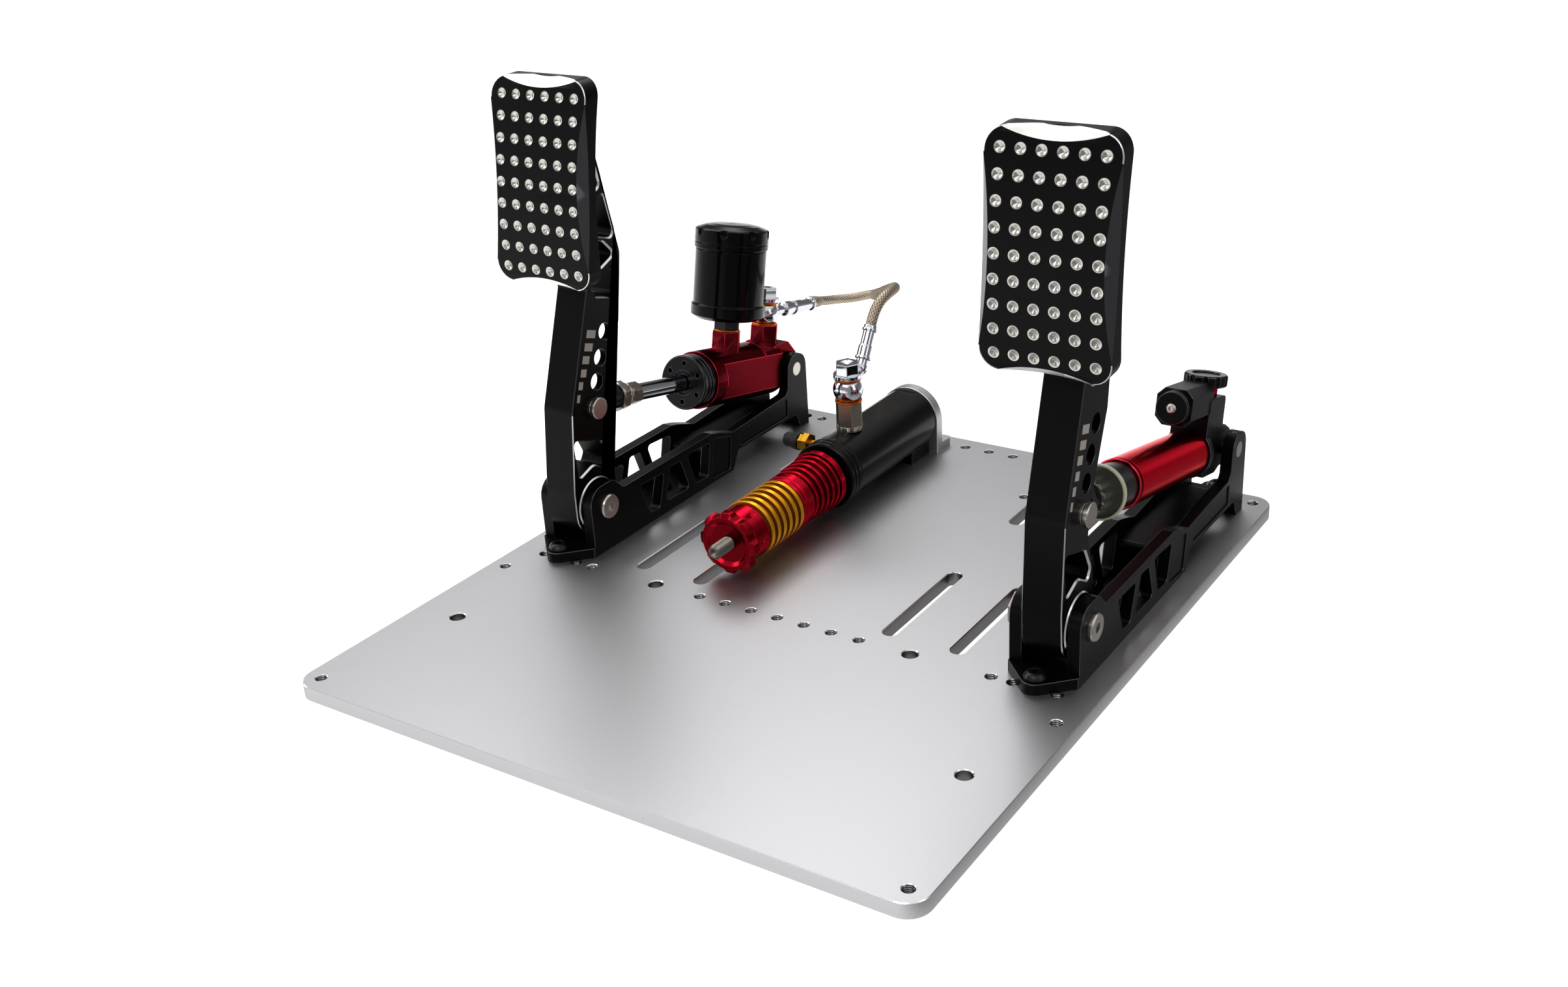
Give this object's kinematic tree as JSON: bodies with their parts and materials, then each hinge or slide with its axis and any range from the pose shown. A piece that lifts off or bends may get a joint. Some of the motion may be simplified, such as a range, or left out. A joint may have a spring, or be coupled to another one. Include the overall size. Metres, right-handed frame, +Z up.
{
  "type": "sim racing pedal set",
  "caption": "Brake and throttle pedals on a slotted base plate, with a hydraulic brake cylinder, spring stack and braided hose, and a damped throttle.",
  "frame": {"origin": "centre of the base plate's underside", "axes": "+X to the driver's right, +Y forwards in the car, away from the driver, +Z up"},
  "size_m": [0.4425, 0.6489, 0.3295],
  "materials": {
    "plate": "silver anodised, blasted",
    "black_aluminium": "black anodised, satin, bright machined edges",
    "red_aluminium": "red anodised",
    "dark_red_aluminium": "deep red anodised",
    "gold_steel": "gold coloured, satin",
    "steel": "turned",
    "black_steel": "black oxide",
    "chrome": "polished",
    "copper": "copper coloured, matt",
    "brass": "turned",
    "rubber": "matt",
    "braid": "braided",
    "black_plastic": "glossy",
    "clear_plastic": "clear"
  },
  "bodies": {
    "base": {"base_plate": "plate", "brake_frame": "black_aluminium", "throttle_frame": "black_aluminium", "frame_screws": "black_steel", "pivot_bolts": "steel", "rear_pins": "steel", "ear_screws": "steel", "slave_tube": "black_aluminium", "slave_collar": "black_aluminium", "slave_saddle": "black_aluminium", "slave_bracket": "plate", "threaded_rod": "steel", "red_sleeve": "red_aluminium", "gold_disc_springs": "gold_steel", "hex_adapter": "steel", "slave_washers": "copper", "slave_banjo": "chrome", "slave_banjo_bolt": "chrome", "bleed_nipple": "brass", "nipple_cap": "rubber", "brake_hose": "braid"},
    "preload_knob": {"preload_knob": "red_aluminium"},
    "slave_piston": {"slave_piston": "black_steel", "red_discs": "red_aluminium"},
    "red_collar": {"red_collar": "red_aluminium"},
    "brake_pedal": {"brake_arm": "black_aluminium", "brake_face": "black_aluminium", "brake_face_screws": "black_steel", "brake_clevis_pin": "steel", "brake_bushes": "brass"},
    "master": {"master_cylinder": "dark_red_aluminium", "master_gland": "black_aluminium", "reservoir_nut": "black_aluminium", "master_washers": "copper", "reservoir": "black_plastic", "master_banjo": "chrome", "master_banjo_bolt": "chrome"},
    "reservoir_lid": {"reservoir_lid": "black_plastic"},
    "push_rod": {"push_rod": "chrome", "brake_rod_end": "black_steel", "brake_jam_nut": "steel", "master_piston": "steel", "master_spring": "steel"},
    "throttle_pedal": {"throttle_arm": "black_aluminium", "throttle_face": "black_aluminium", "throttle_face_screws": "black_steel", "throttle_clevis_pin": "steel", "throttle_bushes": "brass"},
    "damper": {"damper_tube": "red_aluminium", "damper_block": "black_aluminium", "damper_canister": "black_aluminium", "canister_screw": "steel", "dial_ring": "red_aluminium"},
    "damper_dial": {"damper_dial": "black_aluminium"},
    "damper_rod": {"damper_rod": "chrome", "spring_cup": "black_plastic", "throttle_rod_end": "black_steel", "guard_ring": "clear_plastic", "throttle_spring": "steel"},
    "adjuster_knob": {"adjuster_knob": "black_plastic"}
  },
  "joints": [
    {"name": "brake_pivot", "type": "hinge", "parent": "base", "child": "brake_pedal", "pos_m": [-0.178, -0.0211, 0.0421], "axis": [-1, 0, 0], "range_deg": [0, 12], "stiffness_Nm_per_rad": 300, "springref_deg": -0.57},
    {"name": "throttle_pivot", "type": "hinge", "parent": "base", "child": "throttle_pedal", "pos_m": [0.178, -0.0211, 0.0421], "axis": [-1, 0, 0], "range_deg": [0, 20], "stiffness_Nm_per_rad": 12, "springref_deg": -11.46},
    {"name": "master_swivel", "type": "hinge", "parent": "base", "child": "master", "pos_m": [-0.178, 0.2175, 0.06], "axis": [-1, 0, 0], "range_deg": [0, 0.1]},
    {"name": "damper_swivel", "type": "hinge", "parent": "base", "child": "damper", "pos_m": [0.178, 0.2175, 0.06], "axis": [-1, 0, 0], "range_deg": [0, 0.15]},
    {"name": "push_rod_slide", "type": "slide", "parent": "master", "child": "push_rod", "axis": [0, 0.9773, -0.2119], "range_m": [0, 0.0144], "deforming": ["master_spring"]},
    {"name": "damper_rod_slide", "type": "slide", "parent": "damper", "child": "damper_rod", "axis": [0, 0.9778, -0.2096], "range_m": [0, 0.0239], "deforming": ["throttle_spring"]},
    {"name": "slave_piston_slide", "type": "slide", "parent": "base", "child": "slave_piston", "axis": [0, -1, 0], "range_m": [0, 0.006], "deforming": ["red_discs"]},
    {"name": "red_collar_slide", "type": "slide", "parent": "base", "child": "red_collar", "axis": [0, -1, 0], "range_m": [0, 0.0036], "deforming": ["gold_disc_springs"]},
    {"name": "preload_knob_turn", "type": "hinge", "parent": "base", "child": "preload_knob", "pos_m": [-0.057, -0.02, 0.0355], "axis": [0, 1, 0], "continuous": true},
    {"name": "adjuster_knob_turn", "type": "hinge", "parent": "damper_rod", "child": "adjuster_knob", "pos_m": [0.178, 0.02106, 0.10212], "axis": [0, 0.9778, -0.2096], "continuous": true},
    {"name": "damper_dial_turn", "type": "hinge", "parent": "damper", "child": "damper_dial", "pos_m": [0.178, 0.2064, 0.1084], "axis": [0, 0.2096, 0.9778], "continuous": true},
    {"name": "reservoir_lid_turn", "type": "hinge", "parent": "master", "child": "reservoir_lid", "pos_m": [-0.178, 0.17302, 0.17197], "axis": [0, 0.2119, 0.9773], "continuous": true}
  ],
  "couplings": [
    {"joint": "master_swivel", "follows": "brake_pivot", "ratio": 0.0067},
    {"joint": "push_rod_slide", "follows": "brake_pivot", "m_per_rad": 0.0683},
    {"joint": "slave_piston_slide", "follows": "brake_pivot", "m_per_rad": 0.0286},
    {"joint": "red_collar_slide", "follows": "brake_pivot", "m_per_rad": 0.0171},
    {"joint": "damper_swivel", "follows": "throttle_pivot", "ratio": 0.0063},
    {"joint": "damper_rod_slide", "follows": "throttle_pivot", "m_per_rad": 0.0681}
  ]
}
